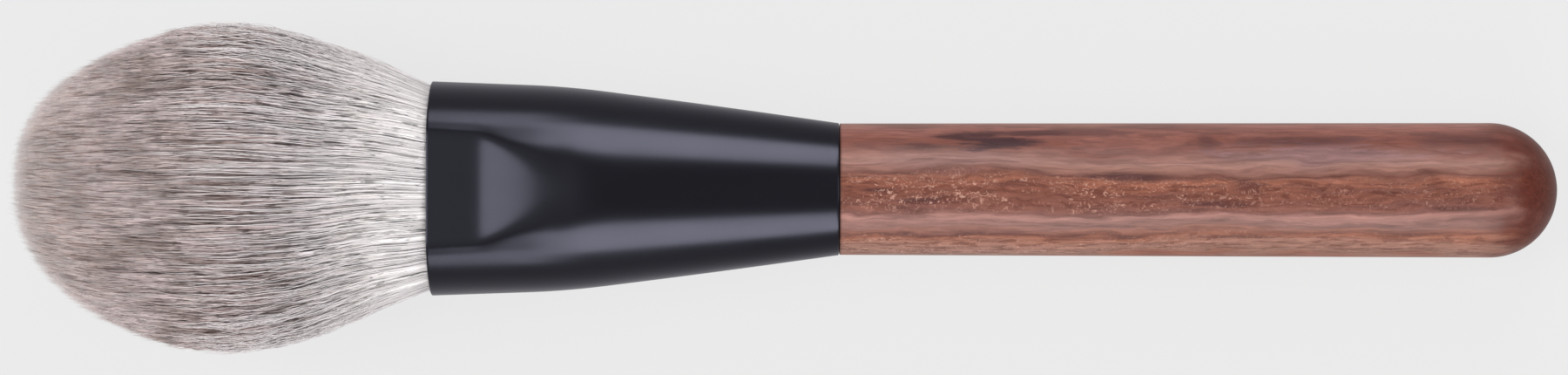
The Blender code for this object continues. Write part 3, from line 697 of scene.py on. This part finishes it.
def blurred(field, width, axis):
    """The field averaged along one axis with a bell of the given width in steps."""
    span = int(width * 3) + 1
    bell = np.exp(-0.5 * (np.arange(-span, span + 1) / width) ** 2)
    bell /= bell.sum()
    total = np.zeros_like(field)
    for shift, share in zip(range(-span, span + 1), bell):
        if axis == 1:
            total += share * np.roll(field, shift, 1)
        else:
            index = np.clip(np.arange(len(field)) + shift, 0, len(field) - 1)
            total += share * field[index]
    return total


def make_ferrule(material):
    """The pressed tube: sections on a fine grid, softened as sheet metal is, then given its wall.

    Its closed outline runs along the outside, round the mouth's edge, back along the bore and
    round the edge at the seam. A point lies its inset below the outer section, square to it.
    """
    angle = (np.arange(FERRULE_COLUMNS) + 0.5) * 2 * math.pi / FERRULE_COLUMNS
    spare = 3.0  # beyond both ends, for the softening
    fine = np.arange(-spare, FERRULE_LENGTH + spare, PRESSED_STEP)
    y, z = pressed_section(fine, angle)
    for width, axis in ((FOLD_AROUND, 1), (FOLD_ALONG, 0)):
        y, z = blurred(y, width, axis), blurred(z, width, axis)
    turns = np.linspace(0, math.pi / 2, 5)
    edge_x = EDGE - EDGE * np.sin(turns)
    edge_in = EDGE - EDGE * np.cos(turns)
    seam = FERRULE_LENGTH - EDGE - CONE_STEP / 2
    outside = np.concatenate([np.arange(seam, PRESSED_TO, -CONE_STEP),
                              np.arange(PRESSED_TO, EDGE, -PRESSED_STEP)])
    along = np.concatenate([outside, edge_x, edge_x[::-1], outside[::-1],
                            FERRULE_LENGTH - edge_x, FERRULE_LENGTH - edge_x[::-1]])
    inset = np.concatenate([np.zeros(len(outside)), edge_in, WALL - edge_in[::-1],
                            np.full(len(outside), WALL), WALL - edge_in, edge_in[::-1]])
    at = np.clip((along - fine[0]) / PRESSED_STEP, 0, len(fine) - 2)
    low = at.astype(int)
    part = (at - low)[:, None]
    y = y[low] * (1 - part) + y[low + 1] * part
    z = z[low] * (1 - part) + z[low + 1] * part
    side_y = np.roll(y, -1, 1) - np.roll(y, 1, 1)
    side_z = np.roll(z, -1, 1) - np.roll(z, 1, 1)
    size = np.hypot(side_y, side_z)
    y, z = y + side_z / size * inset[:, None], z - side_y / size * inset[:, None]
    points = np.stack([np.broadcast_to(along[:, None], y.shape), y, z], -1).reshape(-1, 3)
    return mesh_piece("pressed_ferrule", points, [grid_faces(*y.shape, True)], material)


# Handle

def make_handle(material):
    """Turned handle: half a ball at its end, a slow taper to a rounded shoulder, and its tenon.

    Its profile of distance and radius is turned about x: a point is (x, r cos a, r sin a).
    """
    ball = HANDLE_BACK - END_RADIUS
    dome = [(ball + END_RADIUS * math.cos(a), END_RADIUS * math.sin(a))
            for a in np.linspace(0.02, math.pi / 2, 40)]
    slope = (END_RADIUS - NECK_RADIUS) / (ball - HANDLE_FRONT)
    grip = [(x, NECK_RADIUS + slope * (x - HANDLE_FRONT))
            for x in np.linspace(ball - 2, HANDLE_FRONT + (SHOULDER_ROUND + 0.01), 36)]
    edge = [(HANDLE_FRONT + SHOULDER_ROUND - SHOULDER_ROUND * math.sin(a),
             NECK_RADIUS - SHOULDER_ROUND + SHOULDER_ROUND * math.cos(a))
            for a in np.linspace(0, math.pi / 2, 6)]
    tenon = [(HANDLE_FRONT, TENON_RADIUS + 0.02)]
    for middle in GLUE_GROOVES:
        for x, deep in ((1.0, 0), (0.98, GROOVE_DEPTH), (-0.98, GROOVE_DEPTH), (-1.0, 0)):
            tenon.append((HANDLE_FRONT - middle + x, TENON_RADIUS - deep))
    tip = HANDLE_FRONT - TENON_LENGTH
    tenon += [(tip + TENON_CHAMFER, TENON_RADIUS), (tip, TENON_RADIUS - TENON_CHAMFER)]
    profile = np.array(dome + grip + edge + tenon)
    angle = np.arange(HANDLE_COLUMNS) * 2 * math.pi / HANDLE_COLUMNS
    grid = np.stack([np.broadcast_to(profile[:, :1], (len(profile), HANDLE_COLUMNS)),
                     profile[:, 1:] * np.cos(angle), profile[:, 1:] * np.sin(angle)], -1)
    poles = [[profile[0, 0], 0, 0], [profile[-1, 0], 0, 0]]
    points = np.concatenate([grid.reshape(-1, 3), poles])
    piece = mesh_piece("turned_handle", points, capped(len(profile), HANDLE_COLUMNS), material)
    piece.data.set_sharp_from_angle(angle=math.radians(40))
    return piece


# Hair

def flare(root, belly, out):
    """Half size at a distance from the mouth: a cubic with the flare's slope, then level."""
    t = np.clip(out / BELLY, 0, 1)
    rise = FLARE_SLOPE * BELLY * (t ** 3 - 2 * t ** 2 + t)
    return root * (2 * t ** 3 - 3 * t ** 2 + 1) + rise + belly * (3 * t ** 2 - 2 * t ** 3)


def dome_depth(out):
    """Half size of the dome as a share of the belly's: an oval with its own power each way."""
    reach = np.clip((out - BELLY) / (HAIR_LENGTH - BELLY), 0, 0.9995)
    return (1 - reach ** DOME_ALONG) ** (1 / DOME_ACROSS)


def dome_reach(depth):
    """Distance from the mouth at which the dome has a given share of the belly's half size."""
    return BELLY + (HAIR_LENGTH - BELLY) * (1 - depth ** DOME_ACROSS) ** (1 / DOME_ALONG)


def sway(out):
    """How far the tuft's middle leans to +y: a bell 6 mm out, then a rise from 34 mm to 46 mm."""
    bell = np.exp(-((out - 6) / 5) ** 2)
    return ROOT_SWAY * bell + TIP_SWAY * np.clip((out - 34) / 12, 0, 1) ** 2


def make_core(material):
    """The body inside the hairs, the tuft's outline at a smaller size: no light falls through."""
    reach = BELLY + (HAIR_LENGTH - BELLY) * CORE_SHARE + ROOT_DEPTH
    out = -ROOT_DEPTH + reach * np.sin(np.linspace(0, math.pi / 2, CORE_ROWS))
    depth = dome_depth(BELLY + (out - BELLY) / CORE_SHARE) * CORE_SHARE
    angle = np.arange(CORE_COLUMNS) * 2 * math.pi / CORE_COLUMNS
    across, up = np.cos(angle), np.sin(angle)
    y = (flare(ROOT_Y, BELLY_Y, out) * depth)[:, None] * across + sway(out)[:, None]
    z = (flare(ROOT_Z, BELLY_Z, out) * depth)[:, None] * up
    along = np.broadcast_to(-out[:, None], y.shape)
    combed = np.stack([-along, np.broadcast_to(across * BELLY_Y, y.shape),
                       np.broadcast_to(up * BELLY_Z, y.shape)], -1).reshape(-1, 3)
    poles = [[-out[0], sway(out[0]), 0], [-out[-1], sway(out[-1]), 0]]
    points = np.concatenate([np.stack([along, y, z], -1).reshape(-1, 3), poles])
    combed = np.concatenate([combed, [[out[0], 0, 0], [out[-1], 0, 0]]])
    strand = np.tile(CORE_STRAND, (len(points), 1))
    return mesh_piece("hair_core", points, capped(*y.shape), material, strand, combed)


def hair_tips(rng, share, fine):
    """How far out each hair ends: where the dome has its share, give or take a little.

    Most end up to half a millimetre short of the dome and some a little past it, fine ones 0.3 mm
    further out.
    """
    aim = np.clip(share + rng.normal(0, 0.007, len(share)), 0, 1)
    depth = aim * (1 - GATHER) / (1 - aim * GATHER)
    return dome_reach(depth) - 0.5 + 0.3 * fine + 0.4 * np.abs(rng.normal(0, 1, len(share)))


def hair_lines(centre, offset, start, tip, rings, own, waves):
    """Middle lines of hairs, their places before fanning, and the shares of their lengths.

    A hair keeps its share of the tuft's section: y and z are that share times the outline's half
    sizes at its distance from the mouth, where the oval swells into the corners that the flats
    leave. Its offset from its clump's middle shrinks towards the tip. It sways sideways in slow
    waves, its clump's and its own, and dives under its neighbours and comes up again in quick
    ones, all growing from nothing at the root.
    """
    t = np.linspace(0, 1, rings + 1)[None, :]
    out = start[:, None] + (tip - start)[:, None] * t
    full = np.clip(out / tip[:, None], 0, 1)
    lean = 1 - GATHER * (1 - dome_depth(out))
    pinch = 1 - PINCH * full ** 2
    across = centre[:, None, 0] + offset[:, None, 0] * pinch
    up = centre[:, None, 1] + offset[:, None, 1] * pinch
    size = np.hypot(across, up)
    oval = np.hypot(across * ROOT_Y, up * ROOT_Z) / size
    fill = np.clip(np.minimum(ROOT_CORNER / oval, size / np.abs(up)), 1, None)
    lean *= 1 + (fill - 1) * np.exp(-(np.maximum(out, 0) / CORNER_REACH) ** 2)
    y = across * flare(ROOT_Y, BELLY_Y, out) * lean + sway(out)
    z = up * flare(ROOT_Z, BELLY_Z, out) * lean
    grow = np.clip(out / WAVES_GROWN, 0, 1) ** 1.5
    dive = np.sin(out / (0.75 + 0.5 * own[:, None, 3]) + 2 * math.pi * own[:, None, 4])
    for axis, target in ((0, y), (1, z)):
        slow = np.sin(out / (1.8 + 0.8 * waves[:, None, 2]) + 2 * math.pi * waves[:, None, axis])
        swing = np.sin(out / (2.4 + 1.6 * own[:, None, 2]) + 2 * math.pi * own[:, None, axis])
        target += grow * (CLUMP_WAVE * slow + OWN_WAVE * swing)
        target *= 1 + DIVE * grow * dive
    combed = np.stack([out, across * BELLY_Y, up * BELLY_Z], -1)
    return np.stack([-out, y, z], -1), combed, full


def hair_tubes(points, full, own, fine):
    """Corners of three-sided tubes round the lines, square to them, thinning to a point.

    They are a little thicker near the mouth, and none goes below the table.
    """
    count, rings = len(points), points.shape[1] - 1
    tangent = np.gradient(points, axis=1)
    tangent /= np.linalg.norm(tangent, axis=2, keepdims=True)
    side = np.cross(tangent, np.array([0.0, 0.0, 1.0]))
    side /= np.linalg.norm(side, axis=2, keepdims=True)
    top = np.cross(side, tangent)
    thick = (HAIR_RADIUS + HAIR_RADIUS_SPREAD * own[:, 5]) * (1 - 0.5 * fine)
    swell = np.clip(1.35 + points[..., 0] / 30, 1, 1.35)
    radius = thick[:, None] * np.clip((1.01 - full) / TAPER, TAPER, 1) * swell
    turn = (2 * math.pi * own[:, 6])[:, None, None] + np.arange(SIDES) * 2 * math.pi / SIDES
    ring = side[:, :, None] * np.cos(turn)[..., None] + top[:, :, None] * np.sin(turn)[..., None]
    ring = points[:, :, None] + ring * radius[:, :, None, None]
    corners = np.concatenate([ring[:, :-1].reshape(count, rings * SIDES, 3), points[:, -1:]], 1)
    corners[..., 2] = np.maximum(corners[..., 2], floor_height(corners[..., 0]))
    return corners


def hair_faces(count, rings):
    """Faces of many such tubes: quads along each, a fan at its point, and a lid at its root."""
    base = np.arange(count)[:, None, None] * (rings * SIDES + 1)
    row = (np.arange(rings - 1) * SIDES)[:, None]
    k = np.arange(SIDES)[None, :]
    after = (k + 1) % SIDES
    quads = np.stack([row + k, row + after, row + SIDES + after, row + SIDES + k], -1)
    last, point = (rings - 1) * SIDES, rings * SIDES
    ends = np.array([[last, last + 1, point], [last + 1, last + 2, point],
                     [last + 2, last, point], [2, 1, 0]])
    return [(quads.reshape(-1, 4) + base).reshape(-1, 4), (ends + base).reshape(-1, 3)]


def strand_mesh(name, rng, centre, offset, start, rings, clump, material, fine=0.0):
    """A piece of many hairs as closed tubes; fine ones are thinner and paler.

    A clump's waves are two phases, their length and the clump's tone. A hair's own values are two
    phases and the length of its swing, the length and phase of its dive, its tone and its turn.
    """
    tip = hair_tips(rng, np.hypot(*(centre + offset).T), fine)
    waves = np.random.default_rng(SEED + 1).random((CLUMPS, 4))[clump]
    own = rng.random((len(centre), 7))
    points, combed, full = hair_lines(centre, offset, start, tip, rings, own, waves)
    corners = hair_tubes(points, full, own, fine)
    size = corners.shape[1]
    strand = np.full((len(centre), size, 4), fine)
    strand[..., 0] = own[:, 5:6]
    strand[..., 1] = np.repeat(full, SIDES, axis=1)[:, :size]
    strand[..., 2] = waves[:, 3:4]
    combed = np.repeat(combed, SIDES, axis=1)[:, :size]
    return mesh_piece(name, corners.reshape(-1, 3), hair_faces(len(centre), rings), material,
                      strand.reshape(-1, 4), combed.reshape(-1, 3))


def floor_height(along):
    """Height of the table in brush millimetres at a distance along it, and a hair's breadth."""
    slope, lift = TURN[2][0], MOUTH.z / MM
    return (0.02 - lift - slope * along) / TURN[2][2]


def make_hair(material):
    """Clumps spread over the tuft's section, hairs spread round each clump's middle.

    A clump's middle lies at the golden angle from the last, at the root of its share of the area.
    Fine single hairs, spread evenly by angle, lie round them all and stand out of the dome.
    """
    rng = np.random.default_rng(SEED)
    order = (np.arange(CLUMPS) + 0.5) / CLUMPS
    turn = np.arange(CLUMPS) * math.pi * (3 - math.sqrt(5))
    middles = np.stack([np.cos(turn), np.sin(turn)], -1) * np.sqrt(order)[:, None] * HAIRS_TO
    middles += rng.normal(0, CLUMP_JITTER, middles.shape)
    # The power gives the outer clumps a few more hairs
    clump = np.sort((rng.random(HAIRS) ** 0.95 * CLUMPS).astype(int))
    offset = rng.normal(0, CLUMP_SPREAD, (HAIRS, 2))
    centre = middles[clump]
    share = np.hypot(*(centre + offset).T)
    keep = share < HAIRS_TO
    clump, offset, centre, share = clump[keep], offset[keep], centre[keep], share[keep]
    outer = share > OUTER_FROM
    tip_depth = np.minimum(share * (1 - GATHER) / (1 - share * GATHER), 1)
    start = np.where(outer, -ROOT_DEPTH, dome_reach(tip_depth) - INNER_LENGTH)
    pieces = []
    for label, chosen, rings, limit in (("inner", ~outer, INNER_RINGS, INNER_HAIRS),
                                        ("outer", outer, OUTER_RINGS, OUTER_HAIRS)):
        index = np.flatnonzero(chosen)
        for i in range(0, len(index), limit):
            at = index[i:i + limit]
            name = f"hair_{label}_{i // limit + 1}"
            pieces.append(strand_mesh(name, rng, centre[at], offset[at], start[at], rings,
                                      clump[at], material))
    angle = rng.random(FINE_HAIRS) * 2 * math.pi
    spread = rng.uniform(FINE_FROM, FINE_TO, FINE_HAIRS)
    reach = np.where(np.arange(FINE_HAIRS) % 2, FINE_TO, spread)
    reach += rng.uniform(0, FINE_BAND, FINE_HAIRS)
    middle = np.stack([np.cos(angle), np.sin(angle)], -1) * reach[:, None]
    pieces.append(strand_mesh("hair_fine", rng, middle, np.zeros_like(middle),
                              np.full(FINE_HAIRS, -ROOT_DEPTH), OUTER_RINGS,
                              rng.integers(0, CLUMPS, FINE_HAIRS), material, fine=1.0))
    return pieces


# The scene

make_camera()
make_lights()
make_floor()

ferrule = make_ferrule(black_anodised_aluminium())
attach(ferrule, "root")
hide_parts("ferrule")

handle = make_handle(oiled_rosewood())
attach(handle, "root")
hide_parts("handle")

hair_material = goat_hair()
for piece in [make_core(hair_material)] + make_hair(hair_material):
    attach(piece, "root")
    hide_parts("hair_tuft")

inner = {
    "root_knot": plain_material("resin soaked hair", "#8f7d66", "#a8967c", (0.3, 2.5, 2.5), 0.4),
    "binding_thread": plain_material("cotton thread", "#d8d0c0", "#ebe4d6", (4.0, 4.0, 4.0), 0.8),
    "epoxy_plug": plain_material("clear epoxy", "#b09a6a", "#bda878", (0.4, 0.4, 0.4), 0.15),
    "handle_bond": plain_material("filled epoxy", "#c9c0ac", "#d6cebb", (1.5, 1.5, 1.5), 0.45),
}
for node_name, material in inner.items():
    node = frame["nodes"][node_name]
    node.data.materials.clear()
    node.data.materials.append(material)
